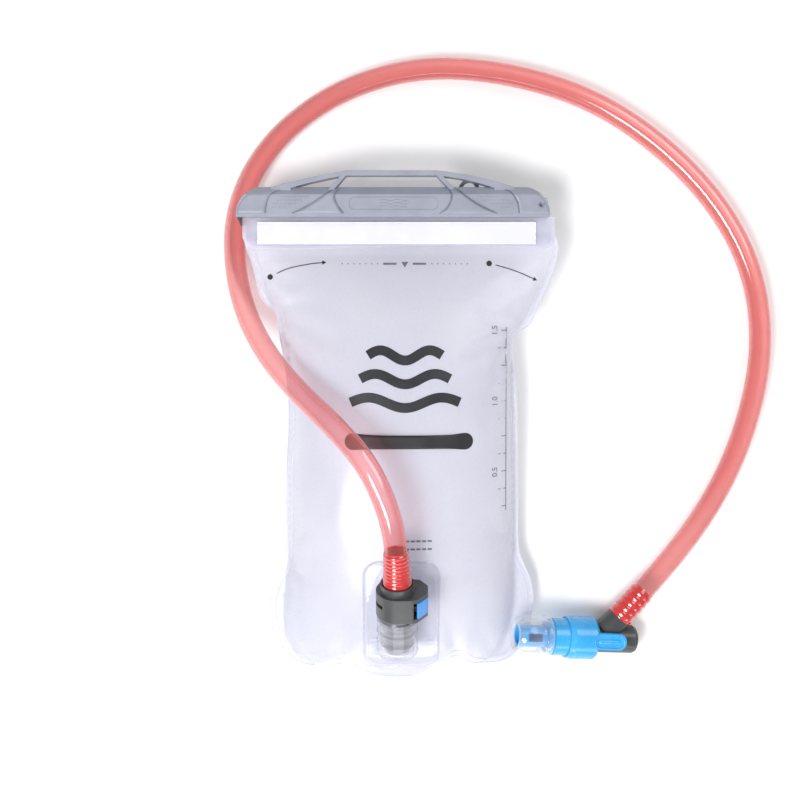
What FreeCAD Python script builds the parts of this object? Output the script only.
import FreeCAD, Part
import math
import os
import Sketcher

# Hydration bladder lying on its back: a film bag with a fold-over mouth closed by a slider bar,
# and a drinking hose that plugs into a port low on the front film and ends in a bite valve.
# Frame: +Z up, +Y towards the slider, +X to the wearer's right; Z = 0 is the surface it lies on.

V = FreeCAD.Vector
doc = FreeCAD.newDocument("HydrationBladder")

# ---------------------------------------------------------------- driving dimensions, mm and degrees
SIZES = [
    ("bag_tilt", 4.5, "rise of the weld plane towards the mouth, degrees"),
    ("bag_lift", 15.5, "height of the weld plane at Y = 0"),
    ("film", 0.6, "film and weld thickness of one panel"),
    ("bag_rise", 32, "bulge of the front film above the weld plane"),
    ("bag_sag", 25, "bulge of the back film, before the surface flattens it"),
    ("bag_foot", -133, "Y of the lower end of the bulge"),
    ("bag_head", 93, "Y of the upper end of the bulge"),
    ("bag_belly", -10, "Y of the thickest section"),
    ("mouth_width", 164, "width of the mouth below the slider"),
    ("fold_width", 160.2, "width of the mouth fold inside the slider"),
    ("fold_x", -1.9, "X of the middle of the mouth fold"),
    ("fold_y", 119.4, "Y of the centre of the mouth fold"),
    ("fold_z", 1.2, "centre of the fold above the weld plane"),
    ("fold_bore", 1.8, "inner radius of the fold"),
    ("flap_y", 96.2, "Y of the free edge of the folded flap"),
    ("rail_radius", 1.6, "radius of the guide rail inside the fold"),
    ("strip_width", 146, "length of the stiff mouth strips"),
    ("strip_depth", 11.6, "width of the stiff mouth strips along Y"),
    ("strip_gauge", 0.8, "thickness of the stiff mouth strips"),
    ("strip_y", 97.4, "Y of the lower edge of the stiff mouth strips"),
    ("slider_length", 163.6, "length of the slider bar"),
    ("slider_left", -84.7, "X of the left end of the slider bar"),
    ("slider_low", 111.4, "Y of the lower edge of the slider bar"),
    ("slider_height", 15.6, "height of the slider bar along Y"),
    ("slider_back", -6.2, "back face of the slider bar from the weld plane"),
    ("slider_depth", 14.8, "thickness of the slider bar"),
    ("channel_bore", 3.7, "radius of the slider's round channel"),
    ("slot_width", 4.8, "width of the slider's slot"),
    ("handle_top", 135.5, "Y of the top of the carry handle"),
    ("handle_bar", 2.6, "thickness of the handle's ribbon"),
    ("handle_back", -3.6, "back face of the handle from the weld plane"),
    ("handle_depth", 10, "width of the handle's ribbon"),
    ("lanyard_hole", 1.2, "radius of the blind hole at the slider's right end"),
    ("port_tilt", 24, "angle of the port's axis above the surface, degrees"),
    ("port_x", -0.5, "X of the port's axis"),
    ("port_y", -92.6, "Y where the coupling's lower face crosses the port's axis"),
    ("port_z", 48.2, "height of that point"),
    ("patch_gauge", 0.8, "thickness of the port patch"),
    ("boot_radius", 10.9, "outer radius of the soft port boot"),
    ("boot_length", 25, "length of the soft port boot"),
    ("spigot_radius", 8.8, "radius over the spigot's ribs"),
    ("nipple_radius", 6.5, "radius of the spigot's nipple"),
    ("nipple_length", 9.4, "length of the spigot's nipple"),
    ("shell_radius", 10.9, "radius of the coupling shell"),
    ("shell_height", 13.4, "height of the coupling shell"),
    ("shell_bore", 7.05, "bore of the coupling shell"),
    ("lug_reach", 15.4, "reach of the coupling shell's lug"),
    ("collar_height", 3.9, "height of the ring around the hose at the coupling"),
    ("collar_radius", 8.8, "outer radius of that ring"),
    ("hose_diameter", 11.8, "outer diameter of the drinking hose"),
    ("hose_bore", 6.6, "bore of the drinking hose"),
    ("stem_radius", 3.2, "radius of the hose stems"),
    ("cuff_port_length", 14.5, "length of the ribbed cuff at the port"),
    ("cuff_valve_length", 20, "length of the ribbed cuff at the valve"),
    ("valve_tilt", 13, "slope of the valve's axis, degrees"),
    ("valve_heading", 4.2, "turn of the valve's axis from -X towards +Y, degrees"),
    ("valve_x", 127.1, "X of the closed end of the valve elbow"),
    ("valve_y", -113.9, "Y of the closed end of the valve elbow"),
    ("valve_z", 7.6, "height of the closed end of the valve's axis"),
    ("barrel_radius", 7.5, "radius of the elbow's barrel"),
    ("neck_radius", 6.7, "radius of the elbow's neck"),
    ("neck_heading", 47, "heading of the elbow's neck from +X, degrees"),
    ("neck_length", 15, "length of the neck from the barrel's axis"),
    ("neck_place", 20, "distance of the neck from the barrel's closed end"),
    ("twist_radius", 11.5, "radius of the shut-off collar"),
    ("twist_start", 23.8, "collar's back face from the barrel's closed end"),
    ("twist_length", 16, "length of the shut-off collar"),
    ("mouth_radius", 9.8, "radius of the blue mouth barrel"),
    ("mouth_length", 11, "length of the blue mouth barrel"),
    ("tip_radius", 5.8, "radius of the mouth barrel's tip"),
    ("tip_length", 15.2, "length of the mouth barrel's tip"),
    ("sheath_radius", 11.3, "radius of the silicone bite sheath"),
    ("sheath_length", 19, "length of the silicone bite sheath"),
]
sheet = doc.addObject("Spreadsheet::Sheet", "Dim")
for row, (alias, value, meaning) in enumerate(SIZES, start=1):
    sheet.set("A%d" % row, meaning)
    sheet.set("B%d" % row, str(value))
    sheet.setAlias("B%d" % row, alias)
doc.recompute()


def size(alias):
    """Read one driving dimension from the sheet."""
    return float(sheet.get(alias))


# ---------------------------------------------------------------- frames of the tilted groups
X_AXIS = V(1, 0, 0)
Y_AXIS = V(0, 1, 0)
Z_AXIS = V(0, 0, 1)

# The bag frame's XY plane is the weld plane; the port frame's and valve frame's +Z run along their axes.
BAG = FreeCAD.Placement(V(0, 0, size("bag_lift")), FreeCAD.Rotation(X_AXIS, size("bag_tilt")))
PORT = FreeCAD.Placement(
    V(size("port_x"), size("port_y"), size("port_z")),
    FreeCAD.Rotation(X_AXIS, size("port_tilt") - 90),
)
VALVE = FreeCAD.Placement(
    V(size("valve_x"), size("valve_y"), size("valve_z")),
    FreeCAD.Rotation(Z_AXIS, -size("valve_heading")) * FreeCAD.Rotation(Y_AXIS, size("valve_tilt") - 90),
)
NECK = FreeCAD.Placement(
    VALVE.multVec(V(0, 0, size("neck_place"))),
    FreeCAD.Rotation(Z_AXIS, size("neck_heading")) * FreeCAD.Rotation(Y_AXIS, 90),
)

NODES = []


def keep(label, piece, frame=None):
    """Name a finished sub-part, put it in its frame and list it for export."""
    piece.Label = label
    if frame is not None:
        piece.Placement = frame
    NODES.append(piece)
    return piece


# ---------------------------------------------------------------- construction helpers
def shift(x, y, z):
    """Placement that only moves."""
    return FreeCAD.Placement(V(x, y, z), FreeCAD.Rotation())


def solid(kind, name, spot=("0", "0", "0"), turn=None, **sizes):
    """Add a Part primitive whose sizes and position are bound to the sheet."""
    piece = doc.addObject("Part::" + kind, name)
    if turn is not None:
        piece.Placement = FreeCAD.Placement(V(0, 0, 0), turn)
    for prop, text in sizes.items():
        piece.setExpression(prop, text)
    for axis, text in zip("xyz", spot):
        piece.setExpression("Placement.Base." + axis, text)
    return piece


def cut(name, base, *tools):
    """Cut each tool from the base in turn."""
    for index, tool in enumerate(tools):
        step = doc.addObject("Part::Cut", "%s_%d" % (name, index))
        step.Base = base
        step.Tool = tool
        base = step
    return base


def fuse(name, *pieces):
    """Join pieces that belong to one moulding."""
    joined = doc.addObject("Part::MultiFuse", name)
    joined.Shapes = list(pieces)
    return joined


def polygon(sketch, corners):
    """Draw a closed polygon whose corners are bound to the sheet, as pairs of expressions."""
    count = len(corners)
    for index in range(count):
        start = 2 * math.pi * index / count
        end = 2 * math.pi * (index + 1) / count
        sketch.addGeometry(
            Part.LineSegment(
                V(10 * math.cos(start), 10 * math.sin(start), 0),
                V(10 * math.cos(end), 10 * math.sin(end), 0),
            )
        )
    for index in range(count):
        sketch.addConstraint(Sketcher.Constraint("Coincident", index, 2, (index + 1) % count, 1))
    for index, corner in enumerate(corners):
        for kind, text in zip(("DistanceX", "DistanceY"), corner):
            place = sketch.addConstraint(Sketcher.Constraint(kind, -1, 1, index, 1, 1.0))
            name = "corner%d%s" % (index, kind[-1])
            sketch.renameConstraint(place, name)
            sketch.setExpression("Constraints." + name, text)


def new_sketch(body, name, plane, corners):
    """Add a polygon sketch on one of a body's own origin planes."""
    sketch = body.newObject("Sketcher::SketchObject", name)
    base = [item for item in body.Origin.OriginFeatures if item.Role == plane][0]
    sketch.AttachmentSupport = [(base, "")]
    sketch.MapMode = "FlatFace"
    polygon(sketch, corners)
    return sketch


def turned(name, profile):
    """Revolve a profile of (radius, height) expressions about Z."""
    body = doc.addObject("PartDesign::Body", name)
    sketch = new_sketch(body, name + "_profile", "XZ_Plane", profile)
    lathe = body.newObject("PartDesign::Revolution", name + "_turn")
    lathe.Profile = sketch
    lathe.ReferenceAxis = (sketch, ["V_Axis"])
    lathe.Angle = 360
    return body


def padded(name, outline, length, plane="XY_Plane", offset="0"):
    """Extrude an outline of expression pairs from a body's own plane."""
    body = doc.addObject("PartDesign::Body", name)
    sketch = new_sketch(body, name + "_outline", plane, outline)
    sketch.setExpression("AttachmentOffset.Base.z", offset)
    pad = body.newObject("PartDesign::Pad", name + "_pad")
    pad.Profile = sketch
    pad.setExpression("Length", length)
    return body


def computed(name, shape):
    """Hold a shape that neither a primitive nor a sketch can give."""
    piece = doc.addObject("Part::Feature", name)
    piece.Shape = shape
    return piece


# ---------------------------------------------------------------- film bag
# Left and right edges of the bulge, as (Y, left X, right X), from the mouth down to the lobes.
BULGE_SIDES = [
    (93, -76, 79),
    (80, -72, 76.5),
    (66, -67, 71),
    (50, -60.5, 62),
    (28, -57.5, 60),
    (-10, -57, 60.5),
    (-48, -57.5, 61),
    (-72, -58, 61),
    (-92, -60, 61),
    (-108, -60, 59),
    (-120, -55, 53),
    (-128, -44, 42),
    (-131.5, -32, 30),
    (-133, -24, 22),
]
END_RISE = 0.5
# Weld margin with its three lobes at the lower end, from the mouth's left corner round to its right one.
WELD_EDGE = [
    (-82.4, 104), (-80.8, 96.2), (-77.6, 87.8), (-72.6, 68.9), (-65.1, 61.9), (-63.6, 52.3),
    (-58.9, 16.2), (-60.2, -27), (-61, -68), (-67.5, -84.8), (-69.8, -97), (-67.6, -110),
    (-59, -123.4), (-45.1, -129.1), (-30.5, -125.4), (-17, -132.5), (-3, -135.2), (11.1, -134),
    (20.3, -129.1), (30, -120.2), (39.7, -125.4), (48.4, -127.5), (60.3, -124.3), (69, -111.9),
    (72.5, -95.3), (71.4, -81.9), (65, -66), (64, -45), (63.2, 14.1), (60.4, 45.5), (70, 55.6),
    (75.7, 68.9), (80.9, 79.3), (83.8, 89.4), (84.6, 96), (82.4, 104),
]


def bulge_share(y):
    """Share of the full bulge at Y: a blunt rise from the lobes, a long wedge towards the mouth."""
    belly = size("bag_belly")
    if y < belly:
        part = (belly - y) / (belly - size("bag_foot"))
        return (1 - part ** 2.6) ** (1 / 2.6)
    part = (y - belly) / (size("bag_head") - belly)
    return (1 - part ** 2) ** 0.8


def bulge_section(y, left, right, rise, skirt, side):
    """Half oval across the bag on one side of the weld plane, with a skirt beyond that plane."""
    middle = (left + right) / 2
    oval = Part.Ellipse(V(0, 0, 0), (right - left) / 2, rise)
    arch = Part.ArcOfEllipse(oval, 0, math.pi).toShape()
    arch.rotate(V(0, 0, 0), X_AXIS, 90 * side)
    arch.translate(V(middle, y, 0))
    drop = -side * skirt
    corners = [V(left, y, 0), V(left, y, drop), V(right, y, drop), V(right, y, 0)]
    sides = [Part.makeLine(corners[i], corners[i + 1]) for i in range(3)]
    return Part.Wire([arch] + sides)


def bulge(rise, grow, skirt, side=1):
    """Solid of one film's bulge, grown outwards by the given amount."""
    sections = []
    foot = size("bag_foot") - grow
    head = size("bag_head") + grow
    for y, left, right in BULGE_SIDES:
        height = max(rise * bulge_share(y) + grow, END_RISE)
        place = min(max(y, foot), head)
        sections.append(bulge_section(place, left - grow, right + grow, height, skirt, side))
    return Part.makeLoft(sections, True, False)


def weld_plate(low, high):
    """Flat plate of the weld margin between two heights of the bag frame."""
    points = [V(x, y, low) for x, y in WELD_EDGE]
    edge = Part.BSplineCurve()
    edge.interpolate(points)
    border = Part.Wire([edge.toShape(), Part.makeLine(points[-1], points[0])])
    return Part.Face(border).extrude(V(0, 0, high - low))


def fold_layer(inner, outer, neck, flap):
    """One film's run up the neck, round the guide rail and down the front flap."""
    half = size("mouth_width") / 2
    fold = size("fold_width")
    left = size("fold_x") - fold / 2
    y, z = size("fold_y"), size("fold_z")
    start = V(left, y, z)
    ring = Part.makeCylinder(outer, fold, start, X_AXIS)
    ring = ring.cut(Part.makeCylinder(inner, fold, start, X_AXIS))
    gap_low = neck[1]
    gap_high = flap[0]
    mouth = Part.makeBox(fold, outer, gap_high - gap_low, V(left, y - outer - 1.2, gap_low))
    ring = ring.cut(mouth)
    reach = math.sqrt(((inner + outer) / 2) ** 2 - (z - (neck[0] + neck[1]) / 2) ** 2)
    shoulder = size("slider_low") - 0.6
    neck_foot = 100
    layer = ring
    for low, (bottom, top) in ((neck_foot, neck), (size("flap_y"), flap)):
        wide = Part.makeBox(2 * half, shoulder - low, top - bottom, V(-half, low, bottom))
        narrow = Part.makeBox(fold, y - reach - shoulder, top - bottom, V(left, shoulder, bottom))
        layer = layer.fuse([wide, narrow])
    return layer.removeSplitter()


def surface_block(clearance):
    """Block below the surface that the bag lies on, in the bag frame."""
    block = Part.makeBox(400, 500, 60, V(-200, -250, clearance - 60))
    block.Placement = BAG.inverse().multiply(block.Placement)
    return block


film = size("film")
fold_inner = size("fold_bore")
fold_middle = fold_inner + film
fold_outer = fold_middle + film
flap_floor = size("fold_z") + film

PORT_IN_BAG = BAG.inverse().multiply(PORT)


def port_cylinder(radius, start, length, tilt=0):
    """Cylinder along the port's axis, or turned from it about X, in the bag frame."""
    rod = Part.makeCylinder(radius, length, V(0, 0, 0), Z_AXIS)
    turn = FreeCAD.Placement(V(0, 0, start), FreeCAD.Rotation(X_AXIS, tilt))
    rod.Placement = PORT_IN_BAG.multiply(turn)
    return rod


FLOW_RADIUS = 3.4
FLOW_PLACE = -19.5


def flow_hole():
    """Passage from the port boot down through the patch and the front film."""
    return port_cylinder(FLOW_RADIUS, FLOW_PLACE, 22, -100)


def make_front_film():
    """Front panel: weld margin, bulge and the inner layer of the mouth fold."""
    skin = weld_plate(0, film).fuse(bulge(size("bag_rise"), 0, 0.01))
    skin = skin.cut(surface_under_weld())
    skin = skin.cut(bulge(size("bag_rise"), -film, 2))
    skin = skin.fuse(fold_layer(fold_inner, fold_middle, (0, film), (flap_floor, flap_floor + film)))
    return skin.cut(flow_hole())


def surface_under_weld():
    """Block that trims the front panel at the weld plane."""
    return Part.makeBox(400, 500, 5, V(-200, -250, -5))


def make_back_film():
    """Back panel: weld margin, bulge flattened by the surface, outer layer of the mouth fold."""
    outer = bulge(size("bag_sag"), 0, 0.01, -1).fuse(weld_plate(-film, 0))
    outer = outer.cut(Part.makeBox(400, 500, 5, V(-200, -250, 0)))
    outer = outer.cut(surface_block(0))
    inner = bulge(size("bag_sag"), -film, 2, -1).cut(surface_block(film))
    skin = outer.cut(inner)
    layer = fold_layer(
        fold_middle, fold_outer, (-film, 0), (flap_floor + film, flap_floor + 2 * film)
    )
    return skin.fuse(layer)


def rounded_prism(width, height, corner, low, high, middle):
    """Upright prism with a rounded rectangular outline, in the bag frame."""
    x, y = middle
    box = Part.makeBox(width, height, high - low, V(x - width / 2, y - height / 2, low))
    edges = [e for e in box.Edges if abs(e.Vertexes[0].Z - e.Vertexes[-1].Z) > 1]
    return box.makeFillet(corner, edges)


PATCH_WIDTH = 39.5
PATCH_HEIGHT = 57
PATCH_MIDDLE = (1.6, -97)
PATCH_CORNER = 9


def make_port_patch():
    """Moulded patch that follows the front film around the port."""
    rise = size("bag_rise")
    outer = bulge(rise, size("patch_gauge"), 0.01)
    prism = rounded_prism(PATCH_WIDTH, PATCH_HEIGHT, PATCH_CORNER, 2, 45, PATCH_MIDDLE)
    return outer.cut(bulge(rise, 0, 1)).common(prism).cut(flow_hole())


def make_port_boot():
    """Soft boot: a sleeve along the port's axis on a saddle that follows the patch."""
    length = size("boot_length")
    radius = size("boot_radius")
    sleeve = port_cylinder(radius, -length, length - 2)
    saddle_middle = (size("port_x"), PORT_IN_BAG.multVec(V(0, 0, -14)).y)
    saddle = rounded_prism(15, 18, 5, 10, 30, saddle_middle)
    boot = sleeve.fuse(saddle)
    boot = boot.cut(bulge(size("bag_rise"), size("patch_gauge"), 1))
    boot = boot.cut(port_cylinder(size("spigot_radius") + 0.05, -length + 1.8, length))
    return boot.cut(flow_hole())


keep("front_film", computed("FrontFilm", make_front_film()), BAG)
keep("back_film", computed("BackFilm", make_back_film()), BAG)
keep("port_patch", computed("PortPatch", make_port_patch()), BAG)
keep("port_boot", computed("PortBoot", make_port_boot()), BAG)


def make_guide_rail():
    """Round rod with chamfered ends that the mouth folds over."""
    half = "Dim.fold_width / 2"
    return turned("GuideRail", [
        ("0", "-" + half), ("Dim.rail_radius - 0.5", "-" + half), ("Dim.rail_radius", "-" + half + " + 0.5"),
        ("Dim.rail_radius", half + " - 0.5"), ("Dim.rail_radius - 0.5", half), ("0", half),
    ])


def make_mouth_strip(name, height):
    """Stiff white strip welded along the mouth's edge."""
    left = "-Dim.strip_width / 2 - 1"
    right = "Dim.strip_width / 2 - 1"
    low = "Dim.strip_y"
    high = "Dim.strip_y + Dim.strip_depth"
    outline = [(left, low), (right, low), (right, high), (left, high)]
    return padded(name, outline, "Dim.strip_gauge", offset=height)


ALONG_FOLD = FreeCAD.Placement(
    V(size("fold_x"), size("fold_y"), size("fold_z")), FreeCAD.Rotation(Y_AXIS, 90)
)
keep("guide_rail", make_guide_rail(), BAG.multiply(ALONG_FOLD))
FLAP_TOP = "Dim.fold_z + 3 * Dim.film"
FLAP_UNDER = "Dim.fold_z + Dim.film - Dim.strip_gauge"
keep("mouth_strip_outer", make_mouth_strip("StripOuter", FLAP_TOP), BAG)
keep("mouth_strip_inner", make_mouth_strip("StripInner", FLAP_UNDER), BAG)


# ---------------------------------------------------------------- slider bar and its handle
def slider_profile():
    """Eight-sided section of the bar, blunter towards its top, as (Y, Z) pairs."""
    low = "Dim.slider_low"
    high = "Dim.slider_low + Dim.slider_height"
    back = "Dim.slider_back"
    front = "Dim.slider_back + Dim.slider_depth"
    return [
        (low, back + " + 1"), (low + " + 1", back), (high + " - 3", back), (high, back + " + 3"),
        (high, front + " - 4"), (high + " - 4", front), (low + " + 1", front), (low, front + " - 1"),
    ]


def plan_outline(height, points):
    """Prism over a plan outline of points, each with an optional arc point before it."""
    edges = []
    last = V(*points[-1][-2:], 0)
    for point in points:
        here = V(point[-2], point[-1], 0)
        if len(point) == 4:
            edges.append(Part.Arc(last, V(point[0], point[1], 0), here).toShape())
        else:
            edges.append(Part.makeLine(last, here))
        last = here
    low, high = height
    prism = Part.Face(Part.Wire(edges)).extrude(V(0, 0, high - low))
    prism.translate(V(0, 0, low))
    return prism


def make_slider_bar():
    """Bar with a round channel, a narrower slot, rounded ends and a lanyard hole."""
    bar = padded("SliderStock", slider_profile(), "Dim.slider_length", "YZ_Plane", "Dim.slider_left")
    left = size("slider_left")
    right = left + size("slider_length")
    low = size("slider_low") - 1
    high = size("slider_low") + size("slider_height") + 1
    ends = plan_outline((-20, 20), [
        (left, low), (right, low), (right, low + 3), (right - 4, high - 5.5, right - 17, high - 0.5),
        (left + 16, high - 0.5), (left + 3.5, high - 6, left, low + 2.5),
    ])
    trimmed = doc.addObject("Part::Common", "SliderTrimmed")
    trimmed.Base = bar
    trimmed.Tool = computed("SliderPlan", ends)
    wall = 2
    bore = solid(
        "Cylinder", "ChannelBore", ("Dim.slider_left + %g" % wall, "Dim.fold_y", "Dim.fold_z"),
        FreeCAD.Rotation(Y_AXIS, 90), Radius="Dim.channel_bore", Height="Dim.slider_length",
    )
    slot = solid(
        "Box", "ChannelSlot",
        ("Dim.slider_left + %g" % wall, "Dim.slider_low - 5", "Dim.fold_z - Dim.slot_width / 2"),
        Length="Dim.slider_length", Width="Dim.fold_y - Dim.slider_low + 5", Height="Dim.slot_width",
    )
    hole = solid(
        "Cylinder", "LanyardHole",
        ("Dim.slider_left + Dim.slider_length - 4.5", "Dim.slider_low + 6.4",
         "Dim.slider_back + Dim.slider_depth - 2.5"),
        Radius="Dim.lanyard_hole", Height="5",
    )
    return cut("SliderBar", trimmed, bore, slot, hole)


def make_slider_handle(stock):
    """Arched ribbon with two slanted struts, whose feet follow the bar's top."""
    base = size("slider_low") + size("slider_height")
    root = base - 3.4
    top = size("handle_top")
    bar = size("handle_bar")
    depth = (size("handle_back"), size("handle_back") + size("handle_depth"))
    outer = plan_outline(depth, [
        (-69, root), (-66, base), (-47, base + 4.6, -27, top), (19.5, top),
        (41, base + 5.2, 60, base), (63, root),
    ])
    inner = plan_outline((depth[0] - 1, depth[1] + 1), [
        (-56, root - 1), (-56, base - 0.6), (-41, base + 3.4, -27, top - bar), (19.5, top - bar),
        (35, base + 3.7, 50, base - 0.6), (50, root - 1),
    ])
    arch = outer.cut(inner)
    struts = [
        [(-38.2, root), (-35.4, root), (-25.6, top - 0.6), (-28.6, top - 0.6)],
        [(28.6, root), (31.4, root), (21.2, top - 0.6), (18.2, top - 0.6)],
    ]
    for corners in struts:
        arch = arch.fuse(plan_outline(depth, corners))
    return arch.cut(stock)


def make_tether_eyelet(stock):
    """Half ring on top of the bar, behind the handle, that the retaining cord ties to."""
    base = size("slider_low") + size("slider_height")
    back = size("handle_back") - 1.25
    reach, wire = 4.6, 1.05
    middle = V(37.4, base - 0.6, back)
    ring = Part.makeTorus(reach, wire, middle, Z_AXIS, -180, 180, 180)
    for side in (-reach, reach):
        ring = ring.fuse(Part.makeCylinder(wire, 2, middle + V(side, 0, 0), -Y_AXIS))
    return ring.cut(stock)


def make_slider_stop():
    """Dark stop block under the closed end of the channel."""
    left = "Dim.slider_left + 0.2"
    low = "Dim.slider_low - 4.6"
    high = "Dim.slider_low"
    outline = [(left, high), (left + " + 2", low), (left + " + 2.1", low), (left + " + 2.1", high)]
    return padded("StopBlock", outline, "6", offset="Dim.fold_z - 3")


keep("slider_bar", make_slider_bar(), BAG)
doc.recompute()
SLIDER_STOCK = doc.getObject("SliderTrimmed").Shape
keep("slider_handle", computed("SliderHandle", make_slider_handle(SLIDER_STOCK)), BAG)
keep("tether_eyelet", computed("TetherEyelet", make_tether_eyelet(SLIDER_STOCK)), BAG)
keep("slider_stop", make_slider_stop(), BAG)


# ---------------------------------------------------------------- port spigot and its shut-off poppet
def ribs(start, count, pitch, low, high):
    """Saw-tooth rib corners of a turned profile, climbing along its axis."""
    corners = []
    for index in range(count):
        foot = "%s + %g" % (start, index * pitch)
        corners += [(low, foot), (high, foot + " + %g" % (pitch * 0.55)), (high, foot + " + %g" % (pitch * 0.8))]
    return corners


def make_port_spigot():
    """Hard spigot: ribbed shank held in the boot, flange, and a nipple with two grooves."""
    rib = "Dim.spigot_radius"
    nipple = "Dim.nipple_radius"
    tip = "Dim.nipple_length"
    profile = [("5.6", "-22.6")]
    profile += ribs("-20.5", 4, 4.4, "7.4", rib)
    profile += [
        ("8.2", "-1.7"), ("9.6", "-1.7"), ("9.6", "-0.3"), (nipple, "-0.3"),
        (nipple, "2.8"), (nipple + " - 0.9", "2.8"), (nipple + " - 0.9", "4.4"), (nipple, "4.4"),
        (nipple, "6"), (nipple + " - 0.7", "6.2"), (nipple + " - 0.7", "8.2"), (nipple, "8.4"),
        (nipple + " - 0.6", tip), ("3.3", tip), ("3.3", "8.2"), ("4.5", "8.2"), ("4.5", "-2.2"),
        ("2.6", "-2.2"), ("2.6", "-22.6"),
    ]
    return turned("PortSpigot", profile)


def round_ring(name, middle, height, gauge):
    """O-ring with an eight-sided section, wide enough apart for its groove."""
    corners = []
    for index in range(8):
        angle = math.radians(22.5 + 45 * index)
        corners.append((
            "%s + %.3f" % (middle, gauge * math.cos(angle)),
            "%s + %.3f" % (height, gauge * math.sin(angle)),
        ))
    return turned(name, corners)


def make_port_poppet():
    """Poppet: sealing disc with a guide pin that the spring sits round."""
    return turned("PortPoppet", [
        ("0", "0"), ("1.4", "0"), ("1.4", "3.3"), ("3.9", "3.3"), ("3.9", "4.4"), ("2.6", "5"), ("0", "5"),
    ])


def coil(radius, wire, length, turns):
    """Round wire wound into an open coil along Z, each half turn a tilted half ring."""
    halves = 2 * turns
    rise = length / halves
    tilt = math.degrees(math.atan2(rise, 2 * radius))
    ring = math.hypot(radius, rise / 2)
    parts = []
    for index in range(halves):
        half = Part.makeTorus(ring, wire / 2, V(0, 0, 0), V(0, 0, 1), -180, 180, 180)
        turn = FreeCAD.Rotation(V(0, 0, 1), 180 * index).multiply(FreeCAD.Rotation(Y_AXIS, tilt))
        half.Placement = FreeCAD.Placement(V(0, 0, rise * (index + 0.5)), turn)
        parts.append(half)
    return parts[0].fuse(parts[1:])


keep("port_spigot", make_port_spigot(), PORT)
keep("spigot_o_ring", round_ring("SpigotRing", "Dim.nipple_radius - 0.3", "3.6", 0.55), PORT)
keep("port_poppet", make_port_poppet(), PORT)
keep("poppet_spring", computed("PoppetSpring", coil(2.9, 0.6, 4.4, 4)), PORT.multiply(shift(0, 0, -1.6)))


# ---------------------------------------------------------------- coupling on the hose
def make_coupling_shell():
    """Shell: round body with a lug, a bore for the nipple, a latch slot and a button pocket."""
    drum = solid("Cylinder", "ShellDrum", Radius="Dim.shell_radius", Height="Dim.shell_height")
    lug = padded("ShellLug", [
        ("-2", "-Dim.shell_radius"), ("7.6", "-10.6"), ("10.2", "-9.6"), ("Dim.lug_reach", "-3"),
        ("Dim.lug_reach", "3.6"), ("11.4", "9.2"), ("4.6", "Dim.shell_radius - 1"),
    ], "Dim.shell_height")
    ring = solid(
        "Cylinder", "ShellRing", ("0", "0", "Dim.shell_height"),
        Radius="Dim.collar_radius", Height="Dim.collar_height",
    )
    bore = solid("Cylinder", "ShellBore", ("0", "0", "-1"), Radius="Dim.shell_bore", Height="11.4")
    well = solid("Cylinder", "ShellWell", ("0", "0", "Dim.shell_height"), Radius="7.9", Height="9")
    throat = solid("Cylinder", "ShellThroat", Radius="5", Height="30")
    latch = solid("Box", "LatchSlot", ("-20", "-7.9", "6.4"), Length="32.4", Width="15.8", Height="1.9")
    pocket = padded("ButtonPocket", [
        ("8", "-7.6"), ("8.2", "-12"), ("11.2", "-12"), ("20", "-2.6"), ("20", "-1.2"), ("11.3", "-1.2"),
    ], "9.4", offset="2")
    seat = solid(
        "Cylinder", "SpringSeat", ("8.2", "-5", "4.4"), FreeCAD.Rotation(Y_AXIS, 90),
        Radius="1.7", Height="6",
    )
    shell = fuse("ShellBlank", drum, lug, ring)
    return cut("CouplingShell", shell, bore, well, throat, latch, pocket, seat)


def make_coupling_core():
    """Core: plug in the shell, a probe that opens the poppet and a stem inside the hose."""
    stem = "Dim.stem_radius"
    return turned("CouplingCore", [
        ("1.2", "5.2"), ("2", "5.2"), ("2", "10.6"), ("4.9", "10.6"), ("4.9", "13.4"), (stem, "13.4"),
        (stem, "26"), (stem + " - 0.7", "27"), ("1.2", "27"),
    ])


def make_release_button():
    """Oval-ended push pad on the lug's slanted facet."""
    return padded("ReleaseButton", [
        ("9.6", "-7.8"), ("9.9", "-9.7"), ("10.6", "-9.9"), ("15.2", "-4"), ("15", "-2.4"), ("12.9", "-2"),
    ], "8.8", offset="2.3")


def make_latch_plate():
    """Plate across the shell with a long hole round the nipple."""
    plate = solid("Box", "PlateStock", ("-7.4", "-7.6", "6.6"), Length="17", Width="15.2", Height="1.5")
    near = solid("Cylinder", "PlateHoleNear", ("0", "0", "6"), Radius="6.8", Height="4")
    far = solid("Cylinder", "PlateHoleFar", ("1.6", "0", "6"), Radius="6.8", Height="4")
    return cut("LatchPlate", plate, near, far)


keep("coupling_shell", make_coupling_shell(), PORT)
keep("coupling_core", make_coupling_core(), PORT)
keep("release_button", make_release_button(), PORT)
keep("latch_plate", make_latch_plate(), PORT)
LATCH_SEAT = FreeCAD.Placement(V(8.5, -5, 4.4), FreeCAD.Rotation(Y_AXIS, 90))
keep("latch_spring", computed("LatchSpring", coil(1.1, 0.4, 1.9, 3)), PORT.multiply(LATCH_SEAT))


# ---------------------------------------------------------------- drinking hose and its ribbed cuffs
def point_on(frame, along):
    """Point on a frame's axis."""
    return frame.multVec(V(0, 0, along))


HOSE_START = point_on(PORT, size("shell_height") + 0.2)
HOSE_END = point_on(NECK, size("neck_length"))
REST = size("hose_diameter") / 2 + 0.05
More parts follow.
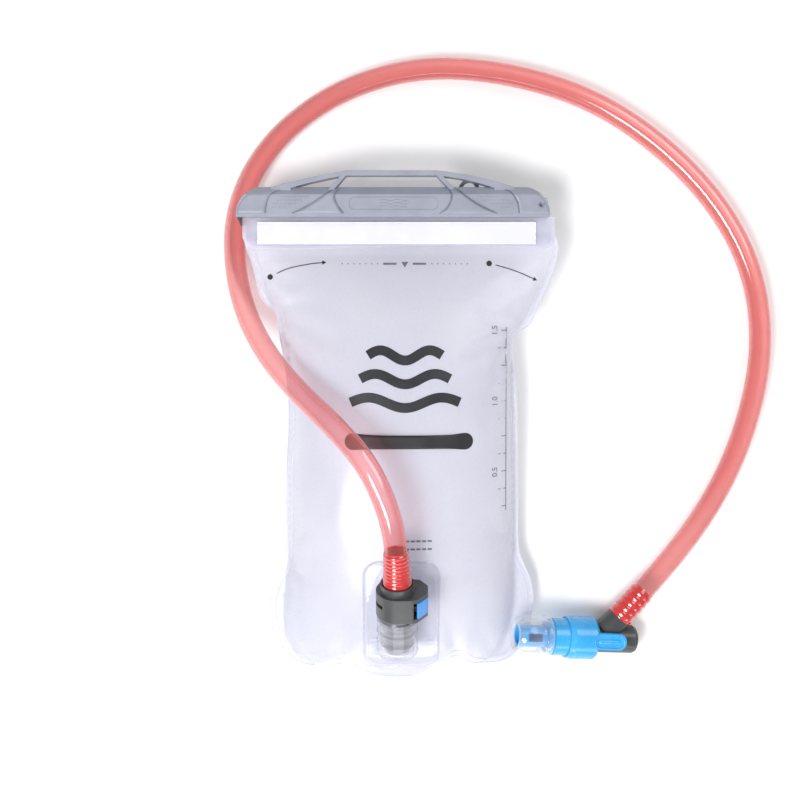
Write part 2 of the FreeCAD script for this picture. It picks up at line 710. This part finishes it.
# Route from the coupling over the bag, round its left side and top, down to the valve on its right.
ROUTE = [
    HOSE_START,
    point_on(PORT, size("shell_height") + 25.2),
    V(-6.6, -34.2, 68),
    V(-16.8, -14.5, 66.5),
    V(-32.6, 2.6, 60.4),
    V(-51, 19, 46.5),
    V(-68.5, 38, 30.5),
    V(-81.8, 61, 15.5),
    V(-88.8, 87.5, REST),
    V(-88.2, 116, REST),
    V(-77.4, 142.6, REST),
    V(-57.5, 165.5, REST),
    V(-27, 185, REST),
    V(14.3, 195.8, REST),
    V(60.3, 192, REST),
    V(104.6, 178.3, REST),
    V(142.7, 153, REST),
    V(173.3, 120.8, REST),
    V(192, 84.8, REST),
    V(197.1, 44.9, REST),
    V(189.4, 4.2, REST),
    V(173.2, -35.2, REST),
    point_on(NECK, size("neck_length") + 40),
    HOSE_END,
]


def route_wire(points):
    """Straight runs joined by tangent arcs as large as each pair of runs allows."""
    edges = []
    radii = []
    last = points[0]
    for before, corner, after in zip(points, points[1:], points[2:]):
        arrive = corner - before
        leave = after - corner
        half_turn = arrive.getAngle(leave) / 2
        trim = 0.45 * min(arrive.Length, leave.Length)
        radius = trim / math.tan(half_turn)
        radii.append(radius)
        arrive.normalize()
        leave.normalize()
        start = corner - arrive * trim
        end = corner + leave * trim
        inward = leave - arrive
        inward.normalize()
        middle = corner + inward * (radius / math.cos(half_turn) - radius)
        edges.append(Part.LineSegment(last, start).toShape())
        edges.append(Part.Arc(start, middle, end).toShape())
        last = end
    edges.append(Part.LineSegment(last, points[-1]).toShape())
    print("smallest radii of the hose:", sorted(round(r) for r in radii)[:6])
    return Part.Wire(edges)


def tube_along(wire, radius):
    """Round solid swept along a wire."""
    start = wire.Vertexes[0].Point
    heading = wire.Edges[0].tangentAt(wire.Edges[0].FirstParameter)
    section = Part.Wire(Part.Circle(start, heading, radius).toShape())
    return wire.makePipeShell([section], True, False)


def make_hose():
    """Hose with its bore, and a check of its volume against section times length."""
    wire = route_wire(ROUTE)
    outer = size("hose_diameter") / 2
    inner = size("hose_bore") / 2
    hose = tube_along(wire, outer).cut(tube_along(wire, inner))
    expected = math.pi * (outer ** 2 - inner ** 2) * wire.Length
    print("hose length %.1f mm, volume share %.4f" % (wire.Length, hose.Volume / expected))
    return hose


def cuff_profile(inner, length, narrow, wide, count, start):
    """Ribbed sleeve round the hose's end, widest at its fitting."""
    corners = [(inner, start), (wide, start)]
    pitch = (length - 2.0) / count
    for index in range(count):
        share = (index + 1) / count
        crest = "%s + (%s - %s) * %.3f" % (wide, narrow, wide, share)
        foot = "%s + %.2f" % (start, 1.2 + index * pitch)
        corners += [
            (crest + " - 0.6", foot), (crest + " - 0.6", foot + " + %.2f" % (pitch * 0.3)),
            (crest, foot + " + %.2f" % (pitch * 0.45)), (crest, foot + " + %.2f" % (pitch * 0.85)),
        ]
    corners += [(narrow + " - 0.5", "%s + %.2f" % (start, length)), (inner, "%s + %.2f" % (start, length))]
    return corners


HOSE_SKIN = "Dim.hose_diameter / 2 + 0.1"
keep("drinking_hose", computed("DrinkingHose", make_hose()))
keep("hose_cuff_port", turned("CuffPort", cuff_profile(
    HOSE_SKIN, size("cuff_port_length"), "6.9", "7.6", 6, "Dim.shell_height + 0.3")), PORT)
keep("hose_cuff_valve", turned("CuffValve", cuff_profile(
    HOSE_SKIN, size("cuff_valve_length"), "6.7", "7.1", 5, "Dim.neck_length + 0.2")), NECK)


# ---------------------------------------------------------------- bite valve
def make_valve_elbow():
    """Elbow: closed barrel, a spigot for the mouthpiece, a neck and a stem inside the hose."""
    barrel = turned("ElbowBarrel", [
        ("0", "0"), ("5.6", "0"), ("6.9", "0.7"), ("Dim.barrel_radius", "2.2"),
        ("Dim.barrel_radius", "Dim.twist_start - 0.3"), ("5.4", "Dim.twist_start - 0.3"),
        ("5.4", "28.6"), ("4.7", "28.6"), ("4.7", "30.4"), ("5.4", "30.4"), ("5.4", "33.6"), ("4.7", "33.6"),
        ("4.7", "35.4"), ("5.4", "35.4"), ("5.4", "38"), ("3", "38"), ("3", "14"), ("0", "14"),
    ])
    barrel.Placement = VALVE
    neck = turned("ElbowNeck", [
        ("2.3", "4.6"), ("Dim.neck_radius + 0.6", "4.6"), ("Dim.neck_radius", "Dim.neck_length"),
        ("Dim.stem_radius", "Dim.neck_length"), ("Dim.stem_radius", "Dim.neck_length + 12"),
        ("2.3", "Dim.neck_length + 12"),
    ])
    neck.Placement = NECK
    blank = fuse("ElbowBlank", barrel, neck)
    bore = turned("ElbowBore", [("0", "14"), ("3", "14"), ("3", "39"), ("0", "39")])
    bore.Placement = VALVE
    branch = turned("ElbowBranch", [("0", "0"), ("2.3", "0"), ("2.3", "14"), ("0", "14")])
    branch.Placement = NECK
    return cut("ValveElbow", blank, bore, branch)


def make_shutoff_collar():
    """Collar with grip flats and a paddle along the elbow's barrel."""
    start = "Dim.twist_start"
    drum = turned("CollarDrum", [
        ("5.6", start), ("Dim.twist_radius - 1", start), ("Dim.twist_radius", start + " + 1.4"),
        ("Dim.twist_radius", start + " + Dim.twist_length - 3"),
        ("Dim.twist_radius - 0.7", start + " + Dim.twist_length - 0.05"),
        ("5.6", start + " + Dim.twist_length - 0.05"),
    ])
    paddle = solid(
        "Box", "Paddle", ("Dim.barrel_radius + 0.9", "-4.4", "13.2"),
        Length="2.6", Width="8.8", Height="Dim.twist_start - 12.2",
    )
    round_end = solid(
        "Cylinder", "PaddleEnd", ("Dim.barrel_radius + 0.9", "0", "13.2"), FreeCAD.Rotation(Y_AXIS, 90),
        Radius="4.4", Height="2.6",
    )
    collar = fuse("CollarBlank", drum, paddle, round_end)
    grip = "Dim.twist_radius - 0.6"
    beyond = "0.6 - Dim.twist_radius - 6"
    flats = [
        solid("Box", "FlatBack", (beyond, "-15", start + " - 1"), Length="6", Width="30", Height="20"),
        solid("Box", "FlatLeft", ("-15", grip, start + " - 1"), Length="30", Width="6", Height="20"),
        solid("Box", "FlatRight", ("-15", beyond, start + " - 1"), Length="30", Width="6", Height="20"),
    ]
    return cut("ShutoffCollar", collar, *flats)


def make_mouth_barrel():
    """Barrel in front of the collar with a narrower, windowed tip inside the sheath."""
    start = "Dim.twist_start + Dim.twist_length"
    shoulder = start + " + Dim.mouth_length"
    tip = shoulder + " + Dim.tip_length"
    body = turned("MouthBody", [
        ("3.4", start), ("Dim.mouth_radius", start), ("Dim.mouth_radius", shoulder + " - 3.2"),
        ("Dim.mouth_radius - 1.6", shoulder + " - 2.4"), ("Dim.mouth_radius - 1.6", shoulder),
        ("Dim.tip_radius", shoulder), ("Dim.tip_radius", tip), ("4.4", tip), ("4.4", shoulder), ("3.4", shoulder),
    ])
    window = solid(
        "Box", "TipWindow", ("2", "-2.2", "0"), Length="8", Width="4.4", Height="8",
    )
    window.setExpression("Placement.Base.z", shoulder + " + 3")
    return cut("MouthBarrel", body, window)


def make_bite_sheath():
    """Soft sheath that closes over the tip, with a lip round its mouth."""
    start = "Dim.twist_start + Dim.twist_length + Dim.mouth_length - 2.2"
    tip = start + " + Dim.sheath_length"
    wall = "Dim.sheath_radius"
    return turned("BiteSheath", [
        ("Dim.mouth_radius - 1.5", start), (wall + " - 0.8", start), (wall, start + " + 2"),
        (wall + " - 0.5", start + " + 5"), (wall, start + " + 9"), (wall, tip + " - 3"),
        (wall + " - 2.4", tip), ("6.1", tip), ("6.1", tip + " - 2"), (wall + " - 2.6", tip + " - 3.5"),
        (wall + " - 2.6", start + " + 2.6"), ("Dim.mouth_radius - 1.5", start + " + 2.6"),
    ])


keep("valve_elbow", make_valve_elbow())
keep("valve_o_ring_inner", round_ring("RingInner", "5.05", "29.5", 0.3), VALVE)
keep("valve_o_ring_outer", round_ring("RingOuter", "5.05", "34.5", 0.3), VALVE)
keep("shutoff_collar", make_shutoff_collar(), VALVE)
keep("mouth_barrel", make_mouth_barrel(), VALVE)
keep("bite_sheath", make_bite_sheath(), VALVE)

# ---------------------------------------------------------------- check and export
doc.recompute()
for item in doc.Objects:
    bad = [state for state in item.State if state in ("Invalid", "Error")]
    if bad:
        raise RuntimeError("%s is %s" % (item.Label, bad))
os.makedirs("parts", exist_ok=True)
for piece in NODES:
    if piece.Shape.isNull() or not piece.Shape.isValid():
        raise RuntimeError(piece.Label + " has no valid shape")
    piece.Shape.exportStep("parts/%s.step" % piece.Label)
print(len(NODES), "sub-parts written")
